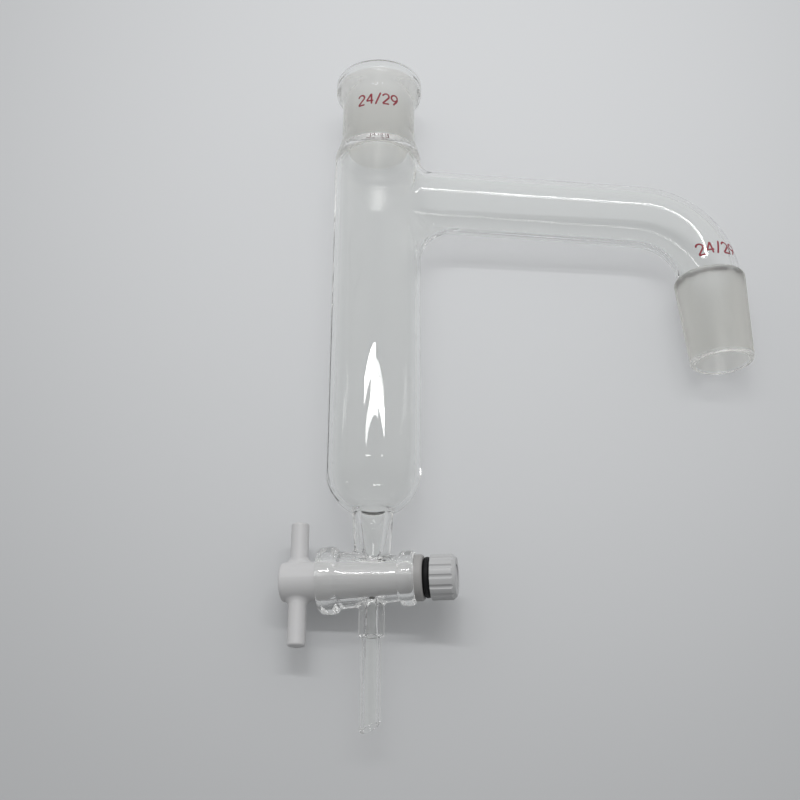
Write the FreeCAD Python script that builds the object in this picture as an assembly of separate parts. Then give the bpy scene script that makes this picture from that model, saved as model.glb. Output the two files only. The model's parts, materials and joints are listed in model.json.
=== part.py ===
import FreeCAD, Part
import math
import os

# Glass water separator: a receiver tube with a ground socket at its top, a side arm that bends over
# to a ground cone, and a drain below with a turning key. The glass is one blown piece. The drain key,
# its washer, ring and nut are separate pieces.
#
# Frame: the origin is the centre of the socket mouth. +Y runs out of the socket along the body axis,
# +X points towards the side arm, and +Z points up from the bench that the piece lies on.

# Ground joints: wide end, ground length, and millimetres of length for 1 mm of diameter
joint_wide_d = 24.0
joint_length = 29.0
joint_taper = 10.0

# Socket: bead at the mouth, neck over the ground bore
rim_d = 30.6
rim_length = 5.5
rim_taper_length = 2.8
rim_round = 1.0
mouth_lead = 0.8
neck_d = 25.8
shoulder_start = 25.0
shoulder_length = 7.5
shoulder_round = 9.0

# Body: straight tube with a round bottom
body_d = 30.2
body_wall = 1.7
body_straight_end = 149.2

# Drain neck, from the end of the straight body to the axis of the key barrel, where its end sizes are
drain_length = 35.1
drain_top_d = 12.6
drain_end_d = 10.0
drain_round = 2.0
funnel_top_d = 8.2
funnel_end_d = 2.4
funnel_round = 1.6

# Side arm: tube, bend and the ground cone at its end
arm_d = 21.1
arm_wall = 1.6
arm_start = 48.3
arm_slope = 3.4
arm_bend_radius = 24.5
root_round_near = 5.0
root_round_far = 12.5
cone_reach = 114.0
cone_lead = 1.3
cone_lean = 3.0
cone_wall = 1.75
cone_end_length = 2.0
cone_end_round = 0.7
cone_step_round = 1.0

# Key barrel, on an axis across the body axis, turned a little out of the plane of the arm
barrel_turn = 10.5
barrel_length = 30.0
barrel_offset = -1.4
barrel_wide_d = 17.9
barrel_narrow_d = 13.8
head_flange_d = 20.8
head_flange_length = 5.4
nut_flange_d = 16.8
nut_flange_length = 4.2
head_flange_round = 1.9
nut_flange_round = 1.3
flange_foot = 1.0
flange_foot_round = 0.4
barrel_root_round = 1.2

# Key: tapered plug, with millimetres of length for 1 mm of diameter, and its handle
plug_wide_d = 12.2
plug_taper = 10.0
plug_bore_d = 2.5
plug_short = 0.7
key_clearance = 0.04
head_length = 11.4
head_gap = 0.5
head_round = 0.9
handle_d = 5.6
handle_length = 38.6
handle_place = 5.2
handle_shift = 0.7
handle_root_round = 2.0
handle_end_round = 0.8
thread_d = 7.6
thread_length = 13.0
thread_flat_depth = 0.75
thread_end_round = 0.5

# Washer, ring and nut that hold the key in
washer_d = 14.2
washer_length = 2.4
washer_gap = 0.1
washer_edge = 0.5
ring_d = 12.5
ring_section = 2.4
ring_pressed_length = 2.25
nut_d = 14.0
nut_length = 7.8
nut_chamfer_length = 1.2
nut_chamfer_depth = 1.1
nut_edge_round = 0.3
nut_flutes = 14
flute_d = 1.8
flute_depth = 0.45
hole_clearance = 0.05

# Drain outlet: stub, then a thinner tube with a slanted tip
stub_d = 7.9
stub_length = 17.5
stub_bore_d = 3.0
outlet_d = 6.2
outlet_length = 26.9
outlet_bore_d = 3.6
outlet_step_round = 0.3
tip_slant = 27.0
tip_lift = 12.0
tip_round = 0.4

# How near its surfaces a point lies that counts as on an edge or in a join
on_edge = 0.01
in_join = 0.1

# Worked out from the sizes above
origin = FreeCAD.Vector(0, 0, 0)
axis_x = FreeCAD.Vector(1, 0, 0)
axis_y = FreeCAD.Vector(0, 1, 0)
axis_z = FreeCAD.Vector(0, 0, 1)
joint_narrow_d = joint_wide_d - joint_length / joint_taper
body_bore_d = body_d - 2 * body_wall
arm_bore_d = arm_d - 2 * arm_wall
barrel_centre = body_straight_end + drain_length
stub_end = barrel_centre + stub_length
outlet_tip = stub_end + outlet_length
barrel_head_end = barrel_offset - barrel_length / 2
barrel_nut_end = barrel_offset + barrel_length / 2
washer_start = barrel_nut_end + washer_gap
ring_start = washer_start + washer_length
nut_start = ring_start + ring_pressed_length
lay_angle = math.degrees(math.asin((body_d - joint_wide_d) / 2 / cone_reach))
arm_base = FreeCAD.Vector(0, -arm_start, 0)
arm_way = FreeCAD.Vector(math.cos(math.radians(arm_slope)), -math.sin(math.radians(arm_slope)), 0)
cone_way = FreeCAD.Vector(math.sin(math.radians(cone_lean)), -math.cos(math.radians(cone_lean)), 0)
bend_reach = arm_bend_radius * math.tan(arm_way.getAngle(cone_way) / 2)
below_corner = cone_way * (bend_reach + cone_lead)
arm_corner = arm_base + arm_way * ((cone_reach - below_corner.x) / arm_way.x)
cone_place = arm_corner + below_corner


def flat(x, y):
    """A point in the plane z = 0."""
    return FreeCAD.Vector(x, y, 0)


def rounded_edges(corners):
    """Edges of an open outline through corners (x, y, radius), with an arc at each rounded corner."""
    edges = []
    last = flat(*corners[0][:2])
    for before, corner, after in zip(corners, corners[1:], corners[2:]):
        point = flat(*corner[:2])
        back = (flat(*before[:2]) - point).normalize()
        ahead = (flat(*after[:2]) - point).normalize()
        if corner[2] == 0:
            edges.append(Part.makeLine(last, point))
            last = point
            continue
        half = back.getAngle(ahead) / 2
        reach = corner[2] / math.tan(half)
        start = point + back * reach
        end = point + ahead * reach
        middle_way = (back + ahead).normalize()
        middle = point + middle_way * (corner[2] / math.sin(half) - corner[2])
        if (start - last).Length > 1e-6:
            edges.append(Part.makeLine(last, start))
        edges.append(Part.Arc(start, middle, end).toShape())
        last = end
    edges.append(Part.makeLine(last, flat(*corners[-1][:2])))
    return edges


def revolved(edges, axis):
    """Solid of one turn of a closed outline of edges about an axis through the origin."""
    face = Part.Face(Part.Wire(Part.__sortEdges__(edges)))
    return face.revolve(origin, axis, 360)


def turned_about_y(profile):
    """Solid of one turn about Y of a rounded outline given as (radius, distance below the mouth, round)."""
    corners = [(-radius, -below, round_) for radius, below, round_ in profile]
    edges = rounded_edges(corners)
    edges.append(Part.makeLine(flat(*corners[-1][:2]), flat(*corners[0][:2])))
    return revolved(edges, axis_y)


def turned_about_x(profile):
    """Solid of one turn about X of a rounded outline given as (place along X, radius, round)."""
    edges = rounded_edges(profile)
    edges.append(Part.makeLine(flat(*profile[-1][:2]), flat(*profile[0][:2])))
    turned = revolved(edges, axis_x)
    turned.rotate(origin, axis_x, 90)
    return turned


def dome_and_neck(dome_r, top, start_below, neck_top_r, neck_end_r, neck_end_below, round_r):
    """Edges from the axis at start_below, round top corners, down a round bottom and along a neck."""
    centre = flat(0, -body_straight_end)
    pole_below = body_straight_end + dome_r
    slope = (neck_top_r - neck_end_r) / (neck_end_below - pole_below)
    tilt = math.atan(slope)
    # The rounding arc lies outside both the dome and the straight neck line, and touches each.
    across = flat(-math.cos(tilt), -math.sin(tilt))
    along = flat(math.sin(tilt), -math.cos(tilt))
    neck_top = flat(-neck_top_r, -pole_below)
    line_point = neck_top + across * round_r
    to_centre = centre - line_point
    step = to_centre.dot(along)
    aside = to_centre.dot(across)
    run = step + math.sqrt((dome_r + round_r) ** 2 - aside ** 2)
    arc_centre = line_point + along * run
    dome_end = centre + (arc_centre - centre).normalize() * dome_r
    neck_start = arc_centre - across * round_r
    middle_way = ((dome_end - arc_centre).normalize() + (neck_start - arc_centre).normalize()).normalize()
    arc_middle = arc_centre + middle_way * round_r
    dome_start = flat(-dome_r, -body_straight_end)
    dome_way = ((dome_start - centre).normalize() + (dome_end - centre).normalize()).normalize()
    neck_end = flat(-neck_end_r, -neck_end_below)
    axis_end = flat(0, -neck_end_below)
    corners = [(0, -start_below, 0)] + [(-r, -below, round_) for r, below, round_ in top]
    corners.append((-dome_r, -body_straight_end, 0))
    edges = rounded_edges(corners)
    edges.append(Part.Arc(dome_start, centre + dome_way * dome_r, dome_end).toShape())
    edges.append(Part.Arc(dome_end, arc_middle, neck_start).toShape())
    edges.append(Part.makeLine(neck_start, neck_end))
    edges.append(Part.makeLine(neck_end, axis_end))
    edges.append(Part.makeLine(axis_end, flat(0, -start_below)))
    return edges


def body_outside():
    """Socket, shoulder, body, round bottom and drain neck, filled."""
    shoulder_end = shoulder_start + shoulder_length
    top = [
        (rim_d / 2, 0, rim_round),
        (rim_d / 2, rim_length, rim_taper_length),
        (neck_d / 2, rim_length + rim_taper_length, rim_taper_length),
        (neck_d / 2, shoulder_start, shoulder_round),
        (body_d / 2, shoulder_end, shoulder_round),
    ]
    return revolved(
        dome_and_neck(body_d / 2, top, 0, drain_top_d / 2, drain_end_d / 2,
                      barrel_centre, drain_round), axis_y)


def body_inside():
    """The space in the socket, the body and the drain funnel."""
    ground_end = mouth_lead + joint_length
    shoulder_end = shoulder_start + shoulder_length
    top = [
        (joint_wide_d / 2 + mouth_lead, 0, 0),
        (joint_wide_d / 2, mouth_lead, 0),
        (joint_narrow_d / 2, ground_end, body_wall / 2),
        (body_bore_d / 2, shoulder_end + body_wall, shoulder_round / 2),
    ]
    return revolved(
        dome_and_neck(body_bore_d / 2, top, 0, funnel_top_d / 2, funnel_end_d / 2,
                      barrel_centre, funnel_round), axis_y)


def arm_tube(diameter):
    """Round bar of the arm from the body axis to the wide end of the cone."""
    bend_start = arm_corner - arm_way * bend_reach
    bend_end = arm_corner + cone_way * bend_reach
    inward = (cone_way - arm_way).normalize()
    to_bend = math.hypot(arm_bend_radius, bend_reach) - arm_bend_radius
    path = Part.Wire([
        Part.makeLine(arm_base, bend_start),
        Part.Arc(bend_start, arm_corner + inward * to_bend, bend_end).toShape(),
        Part.makeLine(bend_end, cone_place),
    ])
    near = axis_z.cross(arm_way) * (diameter / 2)
    front = axis_z * (diameter / 2)
    section = Part.Wire([
        Part.Arc(arm_base + near, arm_base + front, arm_base - near).toShape(),
        Part.Arc(arm_base - near, arm_base - front, arm_base + near).toShape(),
    ])
    return path.makePipeShell([section], True, True)


def at_cone(shape):
    """Moves a shape turned about Y, mouth at the origin, to the wide end of the cone."""
    shape.rotate(origin, axis_z, cone_lean)
    shape.translate(cone_place)
    return shape


def cone_outside():
    """The ground cone, filled, with a rounded step above it and a rounded end."""
    end = joint_length + cone_end_length
    end_r = joint_narrow_d / 2 - cone_end_length / joint_taper / 2
    return at_cone(turned_about_y([
        (0, 0, 0),
        (joint_wide_d / 2, 0, cone_step_round),
        (end_r, end, cone_end_round),
        (0, end, 0),
    ]))


def cone_inside():
    """The bore of the ground cone, which widens from the arm's bore just inside the wide end."""
    end = joint_length + cone_end_length
    widening = joint_wide_d / 2 - cone_wall - arm_bore_d / 2
    end_r = joint_narrow_d / 2 - cone_wall
    return at_cone(turned_about_y([
        (0, 0, 0),
        (arm_bore_d / 2, 0, 0),
        (arm_bore_d / 2 + widening, 2 * widening, widening),
        (end_r, end, 0),
        (0, end, 0),
    ]))


def at_barrel(shape):
    """Moves a shape made along X at the origin to the key barrel."""
    shape.rotate(origin, axis_y, -barrel_turn)
    shape.translate(flat(0, -barrel_centre))
    return shape


def barrel_outside():
    """The key barrel, filled: a taper between two rounded flanges."""
    head_root = barrel_head_end + head_flange_length
    nut_root = barrel_nut_end - nut_flange_length
    return at_barrel(turned_about_x([
        (barrel_head_end, 0, 0),
        (barrel_head_end, head_flange_d / 2, head_flange_round),
        (head_root, head_flange_d / 2, head_flange_round),
        (head_root + flange_foot, barrel_wide_d / 2, flange_foot_round),
        (nut_root - flange_foot, barrel_narrow_d / 2, flange_foot_round),
        (nut_root, nut_flange_d / 2, nut_flange_round),
        (barrel_nut_end, nut_flange_d / 2, nut_flange_round),
        (barrel_nut_end, 0, 0),
    ]))


def plug_radius(place, gap):
    """Radius of the plug's taper at a place along the barrel, made smaller by a gap."""
    return plug_wide_d / 2 - (place - barrel_head_end) / plug_taper / 2 - gap


def barrel_inside():
    """The tapered bore for the plug."""
    return at_barrel(turned_about_x([
        (barrel_head_end, 0, 0),
        (barrel_head_end, plug_radius(barrel_head_end, 0), 0),
        (barrel_nut_end, plug_radius(barrel_nut_end, 0), 0),
        (barrel_nut_end, 0, 0),
    ]))


def outlet_outside():
    """Stub and outlet tube, filled, with the slanted tip."""
    past_tip = outlet_tip + outlet_d
    tube = turned_about_y([
        (0, barrel_centre, 0),
        (stub_d / 2, barrel_centre, 0),
        (stub_d / 2, stub_end, outlet_step_round),
        (outlet_d / 2, stub_end + outlet_step_round, 0),
        (outlet_d / 2, past_tip, 0),
        (0, past_tip, 0),
    ])
    block = Part.makeBox(4 * outlet_d, 2 * outlet_d, 4 * outlet_d,
                         FreeCAD.Vector(-2 * outlet_d, -2 * outlet_d, -2 * outlet_d))
    block.rotate(origin, axis_x, -tip_lift)
    block.rotate(origin, axis_z, tip_slant)
    block.translate(flat(0, -outlet_tip))
    return tube.cut(block)


def outlet_inside():
    """The way from the plug's bore through the stub and the tube."""
    past_tip = outlet_tip + outlet_d
    return turned_about_y([
        (0, barrel_centre, 0),
        (stub_bore_d / 2, barrel_centre, 0),
        (stub_bore_d / 2, stub_end - stub_bore_d, 0),
        (outlet_bore_d / 2, stub_end, 0),
        (outlet_bore_d / 2, past_tip, 0),
        (0, past_tip, 0),
    ])


def tip_face(point):
    """Test for points on the slanted face of the tip."""
    facing = FreeCAD.Rotation(axis_x, -tip_lift).multVec(axis_y)
    facing = FreeCAD.Rotation(axis_z, tip_slant).multVec(facing)
    return abs((point - flat(0, -outlet_tip)).dot(facing)) < on_edge


def rounded_where(shape, wanted, radius):
    """Rounds the edges of a shape whose points all pass the wanted test."""
    edges = []
    for edge in shape.Edges:
        if all(wanted(point) for point in edge.discretize(7)):
            edges.append(edge)
    return shape.makeFillet(radius, edges)


def rounded_root(shape, wanted, wall):
    """Rounds the two edges that pass the test, with a radius that grows from the socket's side down."""
    def round_at(point):
        return (root_round_near if point.y > -arm_start else root_round_far) + wall
    edges = []
    for number, edge in enumerate(shape.Edges, start=1):
        if all(wanted(point) for point in edge.discretize(7)):
            ends = (edge.valueAt(edge.FirstParameter), edge.valueAt(edge.LastParameter))
            edges.append((number, round_at(ends[0]), round_at(ends[1])))
    document = FreeCAD.newDocument("root")
    plain = document.addObject("Part::Feature", "plain")
    plain.Shape = shape
    blend = document.addObject("Part::Fillet", "blend")
    blend.Base = plain
    blend.Edges = edges
    document.recompute()
    rounded = blend.Shape.copy()
    FreeCAD.closeDocument(document.Name)
    return rounded


def off_axis(point, start, along):
    """Distance of a point from the line through start along a unit direction."""
    return (point - start).cross(along).Length


def arm_root(radius_body, radius_arm):
    """Test for points where the arm's surface meets the body's."""
    def test(point):
        on_body = abs(off_axis(point, origin, axis_y) - radius_body) < on_edge
        on_arm = abs(off_axis(point, arm_base, arm_way) - radius_arm) < on_edge
        return on_body and on_arm
    return test


def barrel_root(side):
    """Test for points where the drain neck or the stub, on one side of the barrel, meets it."""
    turn = math.radians(barrel_turn)
    centre = flat(0, -barrel_centre)
    along = FreeCAD.Vector(math.cos(turn), 0, math.sin(turn))

    def test(point):
        near_y = off_axis(point, origin, axis_y) < drain_top_d / 2 + in_join
        place = (point - centre).dot(along)
        beside = abs(place) < drain_top_d / 2 + in_join
        reach = off_axis(point, centre, along)
        on_barrel = barrel_narrow_d / 2 - in_join < reach < barrel_wide_d / 2 + in_join
        return near_y and beside and on_barrel and (point.y + barrel_centre) * side > 0
    return test


def glass_body():
    """The whole blown piece: the filled outside with its joins rounded, less the space inside."""
    outside = body_outside().fuse(arm_tube(arm_d))
    outside = rounded_root(outside, arm_root(body_d / 2, arm_d / 2), 0)
    outside = outside.fuse(cone_outside())
    outside = outside.fuse(barrel_outside()).fuse(outlet_outside())
    outside = rounded_where(outside, barrel_root(1), barrel_root_round)
    outside = rounded_where(outside, barrel_root(-1), barrel_root_round)
    inside = body_inside().fuse(arm_tube(arm_bore_d))
    inside = rounded_root(inside, arm_root(body_bore_d / 2, arm_bore_d / 2), body_wall)
    glass = outside.cut(inside)
    glass = glass.cut(cone_inside())
    glass = glass.cut(barrel_inside())
    glass = glass.cut(outlet_inside())
    return rounded_where(glass, tip_face, tip_round)


def stopcock_key():
    """Moulded key: head with a cross handle, tapered plug with a cross bore, and a flatted end."""
    plug_start = barrel_head_end - head_gap
    head_end = plug_start - head_length
    plug_end = barrel_nut_end - plug_short
    thread_end = plug_end + thread_length
    head_r = plug_radius(barrel_head_end, key_clearance)
    key = turned_about_x([
        (head_end, 0, 0),
        (head_end, head_r, head_round),
        (barrel_head_end, head_r, 0),
        (plug_end, plug_radius(plug_end, key_clearance), 0),
        (plug_end, thread_d / 2, 0),
        (thread_end, thread_d / 2, thread_end_round),
        (thread_end, 0, 0),
    ])
    handle_centre = head_end + handle_place
    bar = Part.makeCylinder(handle_d / 2, handle_length,
                            flat(handle_centre, -handle_length / 2), axis_y)
    bar = rounded_where(bar, lambda p: abs(abs(p.y) - handle_length / 2) < on_edge, handle_end_round)
    bar.translate(flat(0, -handle_shift))
    key = key.fuse(bar)

    def handle_root(point):
        on_bar = abs(math.hypot(point.x - handle_centre, point.z) - handle_d / 2) < on_edge
        on_head = abs(math.hypot(point.y, point.z) - head_r) < on_edge
        return on_bar and on_head
    key = rounded_where(key, handle_root, handle_root_round)
    bore = Part.makeCylinder(plug_bore_d / 2, plug_wide_d, flat(0, -plug_wide_d / 2), axis_y)
    flat_side = Part.makeBox(thread_length, thread_d, thread_d,
                             FreeCAD.Vector(plug_end, -thread_d / 2, thread_d / 2 - thread_flat_depth))
    return at_barrel(key.cut(bore).cut(flat_side))


def tension_washer():
    """Washer with a flatted hole, so that it turns with the key."""
    hole_r = thread_d / 2 + hole_clearance
    flat_height = thread_d / 2 - thread_flat_depth + hole_clearance
    disc = turned_about_x([
        (washer_start, 0, 0),
        (washer_start, washer_d / 2, 0),
        (ring_start - washer_edge, washer_d / 2, 0),
        (ring_start, washer_d / 2 - washer_edge, 0),
        (ring_start, 0, 0),
    ])
    hole = Part.makeCylinder(hole_r, washer_length, flat(washer_start, 0), axis_x)
    above = Part.makeBox(washer_length, 2 * washer_d, washer_d,
                         FreeCAD.Vector(washer_start, -washer_d, flat_height))
    return at_barrel(disc.cut(hole.cut(above)))


def tension_ring():
    """Rubber ring pressed a little flat between the washer and the nut."""
    middle = ring_start + ring_pressed_length / 2
    ring = Part.makeTorus((ring_d - ring_section) / 2, ring_section / 2, flat(middle, 0), axis_x)
    slab = Part.makeBox(ring_pressed_length, 2 * ring_d, 2 * ring_d,
                        FreeCAD.Vector(ring_start, -ring_d, -ring_d))
    return at_barrel(ring.common(slab))


def tension_nut():
    """Round nut with shallow flutes and a chamfered outer end."""
    nut_end = nut_start + nut_length
    nut = turned_about_x([
        (nut_start, 0, 0),
        (nut_start, nut_d / 2, nut_edge_round),
        (nut_end - nut_chamfer_length, nut_d / 2, nut_edge_round),
        (nut_end, nut_d / 2 - nut_chamfer_depth, nut_edge_round),
        (nut_end, 0, 0),
    ])
    nut = nut.cut(Part.makeCylinder(thread_d / 2 + hole_clearance, nut_length, flat(nut_start, 0), axis_x))
    flute_centre = nut_d / 2 + flute_d / 2 - flute_depth
    for count in range(nut_flutes):
        groove = Part.makeCylinder(flute_d / 2, nut_length,
                                   FreeCAD.Vector(nut_start, 0, flute_centre), axis_x)
        groove.rotate(origin, axis_x, 360 * (count + 0.5) / nut_flutes)
        nut = nut.cut(groove)
    return at_barrel(nut)


def laid(shape):
    """Turns a shape about the body axis, so that the body and the wide end of the cone both rest."""
    shape.rotate(origin, axis_y, lay_angle)
    return shape


pieces = {
    "glass_body": glass_body,
    "stopcock_key": stopcock_key,
    "tension_washer": tension_washer,
    "tension_ring": tension_ring,
    "tension_nut": tension_nut,
}

os.makedirs("parts", exist_ok=True)
for name, make in pieces.items():
    solid = laid(make())
    if solid.ShapeType == "Compound" and len(solid.Solids) == 1:
        solid = solid.Solids[0]
    solid.exportStep("parts/" + name + ".step")
    print(name, solid.isValid(), len(solid.Solids), round(solid.Volume, 1))
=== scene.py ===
import json
import math

import bpy
import numpy as np
from mathutils import Matrix, Vector


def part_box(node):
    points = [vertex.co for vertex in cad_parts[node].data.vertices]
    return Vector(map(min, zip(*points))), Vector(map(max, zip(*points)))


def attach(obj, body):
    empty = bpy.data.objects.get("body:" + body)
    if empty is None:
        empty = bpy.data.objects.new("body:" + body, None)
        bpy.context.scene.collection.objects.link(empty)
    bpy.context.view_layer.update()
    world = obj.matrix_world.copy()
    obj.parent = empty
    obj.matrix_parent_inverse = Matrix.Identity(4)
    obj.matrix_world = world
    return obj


# Glass water separator on a pale bench. The glass, key, washer, ring and nut come from the frame and get
# their finishes here, with the thread on the key's end. Added here are the printed joint sizes.
# Lengths are in metres. +Y runs out of the socket, +X towards the side arm, +Z up from the bench.

MM = 0.001
BODY_AXIS = (0.0, 1.0, 0.0)

# Camera, above the drain end and tilted down at the bench
CAMERA_PLACE = (8.23 * MM, -275.7 * MM, 360.1 * MM)
CAMERA_TILT_DOWN = math.radians(67.25)
CAMERA_ROLL = math.radians(0.32)
CAMERA_NEAREST = 10 * MM
LENS_MM = 54.0
SENSOR_MM = 36.0

# Strip lamps overhead, behind the bench, a little staggered: place, target, size across and along, power
LEFT_LAMP = ((-0.29, 0.508, 1.368), (-0.29, -0.112, 0), (0.68, 0.045), 2.6)
RIGHT_LAMP = ((0.23, 0.467, 1.389), (0.23, -0.126, 0), (0.86, 0.045), 3.95)

# Pale room: its level, what it gains behind the piece, overhead and at the sides, and its lowest levels
ROOM_LEVEL = 0.33
ROOM_GAIN_BEHIND = 0.33
ROOM_GAIN_OVERHEAD = 0.14
ROOM_GAIN_SIDES = 0.22
ROOM_LEAST = 0.08
ROOM_LEAST_SEEN = 0.42

# Bench top: painted light. Its colour is brightest at a place behind the piece and falls off to both sides
# and to the near edge, standing in for the lamps' own falloff
BENCH_HALF = 1.6
BENCH_TINT = (0.982, 1.0, 1.019)
BENCH_ROUGHNESS = 0.55
BENCH_SPECULAR = 0.3
BENCH_PAINTED_LIGHT_TOP = 0.84
BENCH_PAINTED_LIGHT_LEAST = 0.5
BENCH_PAINTED_LIGHT_BLEND = 0.3
BENCH_PAINTED_LIGHT_PLACE = (0.03, 0.03)
BENCH_PAINTED_LIGHT_FALL = (5.2, 3.75)
BENCH_BOUNCE = 0.5

# Ground tapers: 24 mm wide at the wide end, 1 mm narrower in 10. Each is matt from a first to a last
# distance along its axis, to a depth on both sides of the taper.
TAPER_WIDE_RADIUS = 12.0 * MM
TAPER_SLOPE = 1 / 20
TAPER_EDGE = 0.5 * MM
SOCKET_WIDE_END = (0.0, -0.8 * MM, 0.0)
SOCKET_AXIS = (0.0, -1.0, 0.0)
SOCKET_MATT = (1.2 * MM, 29.0 * MM, 0.3 * MM)
CONE_MATT = (-0.9 * MM, 30.4 * MM, 1.25 * MM)

# Glass: clear, and a little darker, grainy and matt where it is ground
GLASS_IOR = 1.47
CLEAR_TINT = (0.98, 0.986, 0.978, 1.0)
GROUND_TINT = (0.86, 0.855, 0.82, 1.0)
GROUND_ROUGHNESS = 0.72
GROUND_SPREAD = 0.1
GROUND_GRAIN = 3500.0
GROUND_GRAIN_DETAIL = 2.0
GROUND_GRAIN_HEIGHT = 0.02 * MM

# Share of light that goes straight through one surface of the glass, and what it loses
CLEAR_SHARE = 0.985
LAMP_LOSS = 0.07
EDGE_LOSS = 0.1
LAMP_EDGE_LOSS = 0.3
GROUND_LOSS = 0.08
EDGE_BLEND = 0.2

# Plastics: colour, roughness and share of light that soaks in
KEY_FINISH = ((0.65, 0.65, 0.655), 0.4, 0.08)
WASHER_FINISH = ((0.4, 0.395, 0.39), 0.45, 0.1)
NUT_FINISH = ((0.55, 0.555, 0.56), 0.3, 0.06)
SOAK_DISTANCE = (1.2 * MM, 1.1 * MM, 1.0 * MM)
PLASTIC_FINENESS = 900.0
PLASTIC_SPREAD = 0.12
PLASTIC_GRAIN_HEIGHT = 0.02 * MM
PLASTIC_GRAIN_STRENGTH = 0.6
SKIN_DETAIL = 4.0

# Rubber ring
RUBBER_COLOUR = (0.006, 0.006, 0.007, 1.0)
RUBBER_SPECULAR = 0.25
RUBBER_FINENESS = 1500.0
RUBBER_ROUGHNESS = 0.5
RUBBER_SPREAD = 0.15

# The thread on the key's thin end, along the key's axis from the middle of the barrel
THREAD_START = 12.9 * MM
THREAD_RADIUS = 3.8 * MM
THREAD_EDGE = 0.06 * MM
THREAD_PITCH = 1.5 * MM
THREAD_DEPTH = 0.45 * MM

# Printed joint sizes: a line drawing of each figure, 1 high, on a surface of the glass
PRINT_TEXT = "24/29"
PRINT_COLOUR = (0.3, 0.014, 0.03, 1.0)
PRINT_ROUGHNESS = 0.35
PRINT_HEIGHT = 4.2 * MM
PRINT_LENGTH = 14.2 * MM
PRINT_LINE = 0.075
PRINT_LINE_END = 0.15
PRINT_THICKNESS = 0.05 * MM
NECK_RADIUS = 12.9 * MM
NECK_BASE_LINE = -17.5 * MM
NECK_PRINT_TURN = math.radians(-0.5)
TUBE_RADIUS = 10.55 * MM
BEND_RADIUS = 24.5 * MM
BEND_TO_CONE = 1.3 * MM
BEND_BASE_LINE = 4.7 * MM
BEND_LINE_FALL = 0.07
BEND_PRINT_TURN = math.radians(10.5)

# Times that a ray may meet glass
GLASS_BOUNCES = 40
SHADOW_BOUNCES = 32

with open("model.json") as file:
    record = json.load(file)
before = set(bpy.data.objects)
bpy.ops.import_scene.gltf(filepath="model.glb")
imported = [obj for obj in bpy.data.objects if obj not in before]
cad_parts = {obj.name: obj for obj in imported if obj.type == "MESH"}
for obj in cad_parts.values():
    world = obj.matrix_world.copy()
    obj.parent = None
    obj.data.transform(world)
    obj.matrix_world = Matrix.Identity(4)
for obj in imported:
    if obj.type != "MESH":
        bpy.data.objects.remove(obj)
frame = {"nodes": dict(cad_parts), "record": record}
nodes = frame["nodes"]
scene = bpy.context.scene
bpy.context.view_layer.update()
lowest_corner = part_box("glass_body")[0]
BENCH_HEIGHT = lowest_corner[2]
mounts = {mount["name"]: mount for mount in frame["record"]["mounts"]}
cone_place = np.array(mounts["cone_24_29"]["pos_m"])
cone_axis = np.array(mounts["cone_24_29"]["axis"])
joints = {joint["name"]: joint for joint in frame["record"]["behaviour"]["joints"]}
key_place = np.array(joints["key_turn"]["pos_m"])
key_axis = np.array(joints["key_turn"]["axis"])


def new_material(name):
    """A material with nodes, its node tree and its Principled shader."""
    material = bpy.data.materials.new(name)
    material.use_nodes = True
    tree = material.node_tree
    shader = tree.nodes["Principled BSDF"]
    return material, tree, shader


def feed_inputs(tree, node, values):
    """Feeds a node's inputs in order, each by a socket or a value, and leaves out each None."""
    for slot, value in enumerate(values):
        if value is None:
            continue
        if isinstance(value, bpy.types.NodeSocket):
            tree.links.new(value, node.inputs[slot])
        else:
            node.inputs[slot].default_value = value


def math_node(tree, operation, first, second=None, third=None, clamp=False):
    """A Math node fed by sockets or numbers; gives its output."""
    node = tree.nodes.new("ShaderNodeMath")
    node.operation = operation
    node.use_clamp = clamp
    feed_inputs(tree, node, (first, second, third))
    return node.outputs[0]


def vector_node(tree, operation, first, second=None):
    """A Vector Math node fed by sockets or vectors; gives the node."""
    node = tree.nodes.new("ShaderNodeVectorMath")
    node.operation = operation
    feed_inputs(tree, node, (first, second))
    return node


def object_position(tree):
    """The Object coordinate, in metres, of the surface point."""
    return tree.nodes.new("ShaderNodeTexCoord").outputs["Object"]


def new_group(name, vectors, numbers, outputs):
    """A node group with vector inputs, number inputs and number outputs; gives its tree and both ends."""
    tree = bpy.data.node_groups.new(name, "ShaderNodeTree")
    for socket in vectors:
        tree.interface.new_socket(name=socket, in_out="INPUT", socket_type="NodeSocketVector")
    for socket in numbers:
        tree.interface.new_socket(name=socket, in_out="INPUT", socket_type="NodeSocketFloat")
    for socket in outputs:
        tree.interface.new_socket(name=socket, in_out="OUTPUT", socket_type="NodeSocketFloat")
    inside = tree.nodes.new("NodeGroupInput").outputs
    result = tree.nodes.new("NodeGroupOutput").inputs
    return tree, inside, result


def distance_from_axis(tree, offset, axis):
    """The distance of a point, given as its offset from a place on an axis, from that axis."""
    across = vector_node(tree, "CROSS_PRODUCT", offset, axis).outputs["Vector"]
    return vector_node(tree, "LENGTH", across).outputs["Value"]


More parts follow.
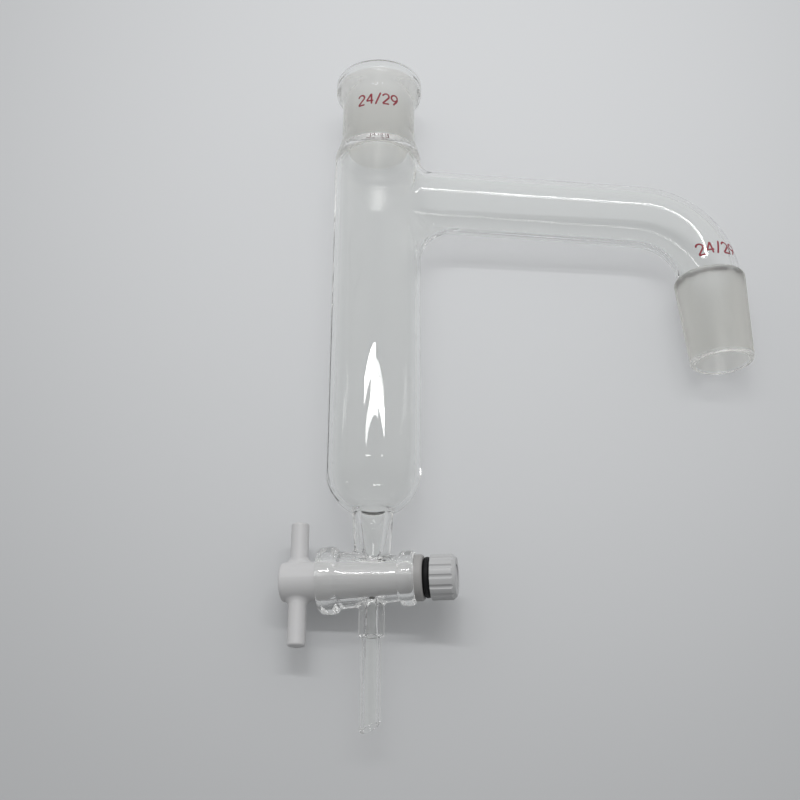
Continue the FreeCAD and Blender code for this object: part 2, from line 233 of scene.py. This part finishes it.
def ground_taper_group():
    """A group that marks the surface of a 24/29 ground taper: 1 on the taper, 0 elsewhere.

    A point at the distance q along the axis and r from it is on the taper where r is within the given
    depth of 12 mm - q / 20, with q between the first and the last matt millimetre.
    """
    tree, inside, result = new_group("ground taper", ("Position", "Wide End", "Axis"),
                                     ("First", "Last", "Depth"), ("Mask",))
    offset = vector_node(tree, "SUBTRACT", inside["Position"], inside["Wide End"]).outputs["Vector"]
    along = vector_node(tree, "DOT_PRODUCT", offset, inside["Axis"]).outputs["Value"]
    radius = distance_from_axis(tree, offset, inside["Axis"])
    ideal = math_node(tree, "MULTIPLY_ADD", along, -TAPER_SLOPE, TAPER_WIDE_RADIUS)
    gap = math_node(tree, "ABSOLUTE", math_node(tree, "SUBTRACT", radius, ideal))
    near = math_node(tree, "LESS_THAN", gap, inside["Depth"])
    after_first = math_node(tree, "SUBTRACT", along, inside["First"])
    before_last = math_node(tree, "SUBTRACT", inside["Last"], along)
    start = math_node(tree, "DIVIDE", after_first, TAPER_EDGE, clamp=True)
    stop = math_node(tree, "DIVIDE", before_last, TAPER_EDGE, clamp=True)
    mask = math_node(tree, "MULTIPLY", math_node(tree, "MULTIPLY", start, stop), near)
    tree.links.new(mask, result["Mask"])
    return tree


def ground_mask(tree, group, position, wide_end, axis, matt):
    """Places the ground taper group for one joint; gives its mask."""
    node = tree.nodes.new("ShaderNodeGroup")
    node.node_tree = group
    tree.links.new(position, node.inputs["Position"])
    node.inputs["Wide End"].default_value = wide_end
    node.inputs["Axis"].default_value = axis
    for name, value in zip(("First", "Last", "Depth"), matt):
        node.inputs[name].default_value = value
    return node.outputs["Mask"]


def clear_glass():
    """Clear glass that turns matt on the ground bore of the socket and on the ground cone."""
    material, tree, shader = new_material("clear glass")
    shader.inputs["Transmission Weight"].default_value = 1.0
    shader.inputs["IOR"].default_value = GLASS_IOR
    position = object_position(tree)
    group = ground_taper_group()
    socket_mask = ground_mask(tree, group, position, SOCKET_WIDE_END, SOCKET_AXIS, SOCKET_MATT)
    cone_mask = ground_mask(tree, group, position, cone_place, cone_axis, CONE_MATT)
    ground = math_node(tree, "MAXIMUM", socket_mask, cone_mask)
    noise = tree.nodes.new("ShaderNodeTexNoise")
    noise.inputs["Scale"].default_value = GROUND_GRAIN
    noise.inputs["Detail"].default_value = GROUND_GRAIN_DETAIL
    tree.links.new(position, noise.inputs["Vector"])
    grain = noise.outputs["Fac"]
    rough = math_node(tree, "MULTIPLY_ADD", grain, GROUND_SPREAD, GROUND_ROUGHNESS)
    tree.links.new(math_node(tree, "MULTIPLY", rough, ground), shader.inputs["Roughness"])
    tint = tree.nodes.new("ShaderNodeMix")
    tint.data_type = "RGBA"
    tint.inputs["A"].default_value = CLEAR_TINT
    tint.inputs["B"].default_value = GROUND_TINT
    tree.links.new(ground, tint.inputs["Factor"])
    tree.links.new(tint.outputs["Result"], shader.inputs["Base Color"])
    raise_bump(tree, shader, math_node(tree, "MULTIPLY", grain, ground), GROUND_GRAIN_HEIGHT, 1.0)
    let_light_through(tree, shader, ground)
    return material


def let_light_through(tree, shader, ground):
    """Lets lamp light and bounced light straight through the glass, with less of it at the edges."""
    rays = tree.nodes.new("ShaderNodeLightPath")
    from_lamp = rays.outputs["Is Shadow Ray"]
    edge = tree.nodes.new("ShaderNodeLayerWeight")
    edge.inputs["Blend"].default_value = EDGE_BLEND
    edge_gain = math_node(tree, "MULTIPLY_ADD", from_lamp, -LAMP_EDGE_LOSS, -EDGE_LOSS)
    flat_share = math_node(tree, "MULTIPLY_ADD", from_lamp, -LAMP_LOSS, CLEAR_SHARE)
    clear_share = math_node(tree, "MULTIPLY_ADD", edge.outputs["Facing"], edge_gain, flat_share)
    share = math_node(tree, "MULTIPLY_ADD", ground, -GROUND_LOSS, clear_share)
    passing = tree.nodes.new("ShaderNodeBsdfTransparent")
    tree.links.new(share, passing.inputs["Color"])
    lit = math_node(tree, "MAXIMUM", from_lamp, rays.outputs["Is Diffuse Ray"])
    both = tree.nodes.new("ShaderNodeMixShader")
    feed_inputs(tree, both, (lit, shader.outputs["BSDF"], passing.outputs["BSDF"]))
    tree.links.new(both.outputs["Shader"], tree.nodes["Material Output"].inputs["Surface"])


def uneven_skin_group():
    """A group for moulded and turned skins: fine noise makes the gloss uneven and gives a height."""
    tree, inside, result = new_group("uneven skin", ("Position",),
                                     ("Fineness", "Lowest Roughness", "Spread"), ("Roughness", "Height"))
    noise = tree.nodes.new("ShaderNodeTexNoise")
    noise.inputs["Detail"].default_value = SKIN_DETAIL
    tree.links.new(inside["Position"], noise.inputs["Vector"])
    tree.links.new(inside["Fineness"], noise.inputs["Scale"])
    grain = noise.outputs["Fac"]
    rough = math_node(tree, "MULTIPLY_ADD", grain, inside["Spread"], inside["Lowest Roughness"])
    tree.links.new(rough, result["Roughness"])
    tree.links.new(grain, result["Height"])
    return tree


def uneven_skin(tree, shader, group, fineness, lowest, spread):
    """Places the uneven skin in a material: it drives the roughness; gives the height."""
    node = tree.nodes.new("ShaderNodeGroup")
    node.node_tree = group
    tree.links.new(object_position(tree), node.inputs["Position"])
    node.inputs["Fineness"].default_value = fineness
    node.inputs["Lowest Roughness"].default_value = lowest
    node.inputs["Spread"].default_value = spread
    tree.links.new(node.outputs["Roughness"], shader.inputs["Roughness"])
    return node.outputs["Height"]


def raise_bump(tree, shader, height, distance, strength):
    """A bump of a height, on top of any bump that the shader has."""
    bump = tree.nodes.new("ShaderNodeBump")
    bump.inputs["Distance"].default_value = distance
    bump.inputs["Strength"].default_value = strength
    tree.links.new(height, bump.inputs["Height"])
    normal = shader.inputs["Normal"]
    if normal.is_linked:
        tree.links.new(normal.links[0].from_socket, bump.inputs["Normal"])
    tree.links.new(bump.outputs["Normal"], normal)


def plain_plastic(name, group, colour, roughness, subsurface):
    """A waxy plastic with faint unevenness in its gloss."""
    material, tree, shader = new_material(name)
    shader.inputs["Base Color"].default_value = (*colour, 1)
    shader.inputs["Subsurface Weight"].default_value = subsurface
    shader.inputs["Subsurface Radius"].default_value = SOAK_DISTANCE
    shader.inputs["Subsurface Scale"].default_value = 1.0
    lowest = roughness - PLASTIC_SPREAD / 2
    height = uneven_skin(tree, shader, group, PLASTIC_FINENESS, lowest, PLASTIC_SPREAD)
    raise_bump(tree, shader, height, PLASTIC_GRAIN_HEIGHT, PLASTIC_GRAIN_STRENGTH)
    return material


def add_thread(material):
    """A thread on the key's thin end, as a bump.

    With q along the key's axis, a the angle round it in turns and r the distance from it, the height is
    |2 frac(q / pitch - a) - 1|, where q is on the threaded length and r is the outside of the thread.
    """
    tree = material.node_tree
    side = np.cross(key_axis, BODY_AXIS)
    offset = vector_node(tree, "SUBTRACT", object_position(tree), key_place).outputs["Vector"]
    along = vector_node(tree, "DOT_PRODUCT", offset, key_axis).outputs["Value"]
    beside = vector_node(tree, "DOT_PRODUCT", offset, side).outputs["Value"]
    across = vector_node(tree, "DOT_PRODUCT", offset, BODY_AXIS).outputs["Value"]
    turns = math_node(tree, "DIVIDE", math_node(tree, "ARCTAN2", across, beside), 2 * math.pi)
    phase = math_node(tree, "SUBTRACT", math_node(tree, "DIVIDE", along, THREAD_PITCH), turns)
    wave = math_node(tree, "MULTIPLY_ADD", math_node(tree, "FRACT", phase), 2.0, -1.0)
    ridge = math_node(tree, "ABSOLUTE", wave)
    started = math_node(tree, "GREATER_THAN", along, THREAD_START)
    radius = distance_from_axis(tree, offset, key_axis)
    depth = math_node(tree, "ABSOLUTE", math_node(tree, "SUBTRACT", radius, THREAD_RADIUS))
    outside = math_node(tree, "LESS_THAN", depth, THREAD_EDGE)
    height = math_node(tree, "MULTIPLY", math_node(tree, "MULTIPLY", ridge, started), outside)
    raise_bump(tree, tree.nodes["Principled BSDF"], height, THREAD_DEPTH, 1.0)
    return material


def black_rubber(group):
    """Smooth black rubber with a dull sheen."""
    material, tree, shader = new_material("black rubber")
    shader.inputs["Base Color"].default_value = RUBBER_COLOUR
    shader.inputs["Specular IOR Level"].default_value = RUBBER_SPECULAR
    uneven_skin(tree, shader, group, RUBBER_FINENESS, RUBBER_ROUGHNESS, RUBBER_SPREAD)
    return material


def printed_red():
    """Red enamel ink, burnt into the glass."""
    material, tree, shader = new_material("printed red")
    shader.inputs["Base Color"].default_value = PRINT_COLOUR
    shader.inputs["Roughness"].default_value = PRINT_ROUGHNESS
    return material


def arc(middle, across, up, start, end, count=40):
    """Points of an ellipse about a middle, from one angle to another in degrees."""
    angle = np.radians(np.linspace(start, end, count))
    return np.column_stack((middle[0] + across * np.cos(angle), middle[1] + up * np.sin(angle)))


def figure_lines():
    """The lines of each printed figure on a plane, 1 high, and its width."""
    two_bow = np.vstack((arc((0.27, 0.72), 0.26, 0.27, 172, -28), [(0.0, 0.03)]))
    nine_tail = np.vstack((arc((0.02, 0.70), 0.53, 0.60, 0, -58), [(0.20, 0.0)]))
    return {
        "2": ((two_bow, [(0.0, 0.0), (0.55, 0.0)]), 0.55),
        "4": (([(0.42, 0.0), (0.42, 1.0)], [(0.42, 1.0), (0.0, 0.32)], [(0.0, 0.32), (0.58, 0.32)]), 0.58),
        "/": (([(0.0, -0.08), (0.42, 1.08)],), 0.42),
        "9": ((arc((0.28, 0.70), 0.27, 0.29, 0, 360, 60), nine_tail), 0.55),
    }


def even_path(corners, count=48):
    """Points at equal steps along the line through some corners, and the distance of each from the start."""
    corners = np.array(corners, float)
    steps = np.hypot(*np.diff(corners, axis=0).T)
    reach = np.concatenate(([0.0], np.cumsum(steps)))
    wanted = np.linspace(0.0, reach[-1], count)
    return np.column_stack([np.interp(wanted, reach, corners[:, k]) for k in range(2)]), wanted


def ink_line(corners, left, place, around=10):
    """One printed line, closed, as a grid of points and its two end points.

    Point(s, a) = path(s) + half(s) cos(a) across(s), at the height thickness half(s) / line sin(a) over the
    glass, where half(s) is the half width of the line. It falls as a quarter circle towards both ends.
    """
    path, distance = even_path(corners)
    slope = np.gradient(path, axis=0)
    slope /= np.linalg.norm(slope, axis=1)[:, None]
    across = np.column_stack((-slope[:, 1], slope[:, 0]))
    to_end = np.minimum(distance, distance[-1] - distance) + PRINT_LINE_END * PRINT_LINE
    to_end = np.minimum(to_end, PRINT_LINE)
    half = np.sqrt(PRINT_LINE ** 2 - (PRINT_LINE - to_end) ** 2)
    angle = np.linspace(0.0, 2 * np.pi, around, endpoint=False)
    flat = path[:, None, :] + half[:, None, None] * np.cos(angle)[None, :, None] * across[:, None, :]
    lift = PRINT_THICKNESS * half[:, None] / PRINT_LINE * np.sin(angle)[None, :]
    grid = place(left + flat[..., 0], flat[..., 1], lift)
    ends = place(left + path[[0, -1], 0], path[[0, -1], 1], np.zeros(2))
    return grid, ends


def closed_faces(rows, around, first):
    """Faces of a closed tube: rows of points round it from a first index, and then its two end points."""
    ring = np.arange(around)
    after = (ring + 1) % around
    row = np.arange(rows - 1)[:, None] * around
    quads = np.stack((row + ring, row + around + ring, row + around + after, row + after), axis=-1)
    last = (rows - 1) * around
    start_point = np.full(around, rows * around)
    start_fan = np.column_stack((ring, after, start_point))
    end_fan = np.column_stack((last + after, last + ring, start_point + 1))
    faces = (quads.reshape(-1, 4) + first).tolist()
    faces += (start_fan + first).tolist()
    faces += (end_fan + first).tolist()
    return faces


def printed_size(name, place, ink):
    """The joint size 24/29 as closed ink lines on the glass, as one piece.

    place(x, y, lift) turns places on the lettering plane, in print heights, into points in the room.
    """
    shapes = figure_lines()
    length = PRINT_LENGTH / PRINT_HEIGHT
    gap = (length - sum(shapes[letter][1] for letter in PRINT_TEXT)) / (len(PRINT_TEXT) - 1)
    left = -length / 2
    points = []
    faces = []
    first = 0
    for letter in PRINT_TEXT:
        lines, width = shapes[letter]
        for line in lines:
            grid, ends = ink_line(line, left, place)
            rows, around = grid.shape[:2]
            faces += closed_faces(rows, around, first)
            points.append(grid.reshape(-1, 3))
            points.append(ends)
            first += rows * around + len(ends)
        left += width + gap
    mesh = bpy.data.meshes.new(name)
    mesh.from_pydata(np.vstack(points).tolist(), [], faces)
    mesh.shade_smooth()
    mesh.materials.append(ink)
    piece = bpy.data.objects.new(name, mesh)
    scene.collection.objects.link(piece)
    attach(piece, "glass")


def on_neck(x, y, lift):
    """A point on the socket's neck: x runs round the body axis, y along it."""
    angle = NECK_PRINT_TURN + x * PRINT_HEIGHT / NECK_RADIUS
    radius = NECK_RADIUS + lift
    return np.stack((radius * np.sin(angle), NECK_BASE_LINE + y * PRINT_HEIGHT + 0 * angle,
                     radius * np.cos(angle)), axis=-1)


def on_bend(x, y, lift):
    """A point on the bend above the cone: x runs round the tube, y back along the tube's own surface.

    The middle line leaves the cone straight and then bends with one radius, in the plane of the arm. The
    surface is longer than the middle line outside the bend, and shorter inside it.
    """
    upward = np.array((-cone_place[2], 0.0, cone_place[0]))
    upward /= np.linalg.norm(upward)
    outward = np.cross(upward, cone_axis)
    angle = BEND_PRINT_TURN + x * PRINT_HEIGHT / TUBE_RADIUS
    longer = 1.0 + TUBE_RADIUS * np.sin(angle) / BEND_RADIUS
    back = BEND_BASE_LINE + (y / longer - BEND_LINE_FALL * x) * PRINT_HEIGHT - BEND_TO_CONE
    turn = np.maximum(back, 0.0)[..., None] / BEND_RADIUS
    straight = np.minimum(back, 0.0)[..., None]
    middle = cone_place - cone_axis * (BEND_TO_CONE + straight) - BEND_RADIUS * outward
    side = np.cos(turn) * outward - np.sin(turn) * cone_axis
    angle = angle[..., None]
    radius = (TUBE_RADIUS + lift)[..., None]
    return middle + BEND_RADIUS * side + radius * (np.cos(angle) * upward + np.sin(angle) * side)


def dress(node, material):
    """Gives a CAD node's object a new material."""
    nodes[node].data.materials.clear()
    nodes[node].data.materials.append(material)


def bench_paint_with_painted_light():
    """The bench top's material, with painted light: its colour is darker away from a painted bright place,
    standing in for the lamps' falloff.

    It throws less light back at the piece than it shows, so that undersides stay as dark as in a real room.
    """
    material, tree, shader = new_material("bench top")
    shader.inputs["Roughness"].default_value = BENCH_ROUGHNESS
    shader.inputs["Specular IOR Level"].default_value = BENCH_SPECULAR
    split = tree.nodes.new("ShaderNodeSeparateXYZ")
    tree.links.new(object_position(tree), split.inputs[0])
    aside = math_node(tree, "SUBTRACT", split.outputs["X"], BENCH_PAINTED_LIGHT_PLACE[0])
    nearer = math_node(tree, "SUBTRACT", BENCH_PAINTED_LIGHT_PLACE[1], split.outputs["Y"])
    nearer = math_node(tree, "MAXIMUM", nearer, 0.0)
    # Painted light: the bench colour falls off from the bright place, in place of the lamps' own falloff
    level = BENCH_PAINTED_LIGHT_TOP
    for distance, fall in zip((aside, nearer), BENCH_PAINTED_LIGHT_FALL):
        square = math_node(tree, "MULTIPLY", distance, distance)
        level = math_node(tree, "MULTIPLY_ADD", square, -fall, level)
    level = math_node(tree, "SMOOTH_MAX", level, BENCH_PAINTED_LIGHT_LEAST, BENCH_PAINTED_LIGHT_BLEND)
    rays = tree.nodes.new("ShaderNodeLightPath")
    bounce = math_node(tree, "MULTIPLY_ADD", rays.outputs["Is Diffuse Ray"], BENCH_BOUNCE - 1.0, 1.0)
    level = math_node(tree, "MULTIPLY", level, bounce)
    colour = vector_node(tree, "SCALE", BENCH_TINT)
    tree.links.new(level, colour.inputs["Scale"])
    tree.links.new(colour.outputs["Vector"], shader.inputs["Base Color"])
    return material


def make_bench():
    """The flat bench top that the piece lies on."""
    mesh = bpy.data.meshes.new("bench")
    corners = [(side * BENCH_HALF, end * BENCH_HALF, BENCH_HEIGHT)
               for side, end in ((-1, -1), (1, -1), (1, 1), (-1, 1))]
    mesh.from_pydata(corners, [], [(0, 1, 2, 3)])
    mesh.materials.append(bench_paint_with_painted_light())
    bench = bpy.data.objects.new("bench", mesh)
    scene.collection.objects.link(bench)


def strip_lamp(name, place, target, size, power):
    """A rectangular lamp at a place, turned to a target, size (across, along) in metres."""
    light = bpy.data.lights.new(name, "AREA")
    light.shape = "RECTANGLE"
    light.size, light.size_y = size
    light.energy = power
    lamp = bpy.data.objects.new(name, light)
    lamp.location = place
    lamp.rotation_euler = (Vector(target) - Vector(place)).to_track_quat("-Z", "Y").to_euler()
    scene.collection.objects.link(lamp)


def make_room():
    """A soft pale room, brighter behind the piece, overhead and at the sides, and never dark in glass."""
    world = bpy.data.worlds.new("pale room")
    scene.world = world
    world.use_nodes = True
    tree = world.node_tree
    background = tree.nodes["Background"]
    direction = tree.nodes.new("ShaderNodeTexCoord").outputs["Generated"]
    split = tree.nodes.new("ShaderNodeSeparateXYZ")
    tree.links.new(direction, split.inputs[0])
    level = math_node(tree, "MULTIPLY_ADD", split.outputs["Y"], ROOM_GAIN_BEHIND, ROOM_LEVEL)
    level = math_node(tree, "MULTIPLY_ADD", split.outputs["Z"], ROOM_GAIN_OVERHEAD, level)
    aside = math_node(tree, "ABSOLUTE", split.outputs["X"])
    level = math_node(tree, "MULTIPLY_ADD", aside, ROOM_GAIN_SIDES, level)
    level = math_node(tree, "MAXIMUM", level, ROOM_LEAST)
    rays = tree.nodes.new("ShaderNodeLightPath")
    seen = math_node(tree, "MAXIMUM", rays.outputs["Is Glossy Ray"], rays.outputs["Is Transmission Ray"])
    seen = math_node(tree, "MAXIMUM", seen, rays.outputs["Is Camera Ray"])
    level = math_node(tree, "MAXIMUM", level, math_node(tree, "MULTIPLY", seen, ROOM_LEAST_SEEN))
    tree.links.new(level, background.inputs["Color"])
    background.inputs["Strength"].default_value = 1.0


def make_camera():
    """The camera at the photograph's viewing angle."""
    data = bpy.data.cameras.new("camera")
    data.lens = LENS_MM
    data.sensor_width = SENSOR_MM
    data.sensor_fit = "HORIZONTAL"
    data.clip_start = CAMERA_NEAREST
    camera = bpy.data.objects.new("camera", data)
    look = Matrix.Rotation(math.pi / 2 - CAMERA_TILT_DOWN, 4, "X") @ Matrix.Rotation(CAMERA_ROLL, 4, "Z")
    camera.matrix_world = Matrix.Translation(CAMERA_PLACE) @ look
    scene.collection.objects.link(camera)
    scene.camera = camera


make_camera()
strip_lamp("left strip lamp", *LEFT_LAMP)
strip_lamp("right strip lamp", *RIGHT_LAMP)
make_room()
make_bench()
dress("glass_body", clear_glass())
skin = uneven_skin_group()
dress("stopcock_key", add_thread(plain_plastic("key plastic", skin, *KEY_FINISH)))
dress("tension_washer", plain_plastic("washer plastic", skin, *WASHER_FINISH))
dress("tension_nut", plain_plastic("nut plastic", skin, *NUT_FINISH))
dress("tension_ring", black_rubber(skin))
red_ink = printed_red()
printed_size("socket_size_print", on_neck, red_ink)
printed_size("cone_size_print", on_bend, red_ink)

scene.view_settings.view_transform = "Standard"
scene.cycles.max_bounces = GLASS_BOUNCES
scene.cycles.transmission_bounces = GLASS_BOUNCES
scene.cycles.glossy_bounces = GLASS_BOUNCES
scene.cycles.transparent_max_bounces = SHADOW_BOUNCES
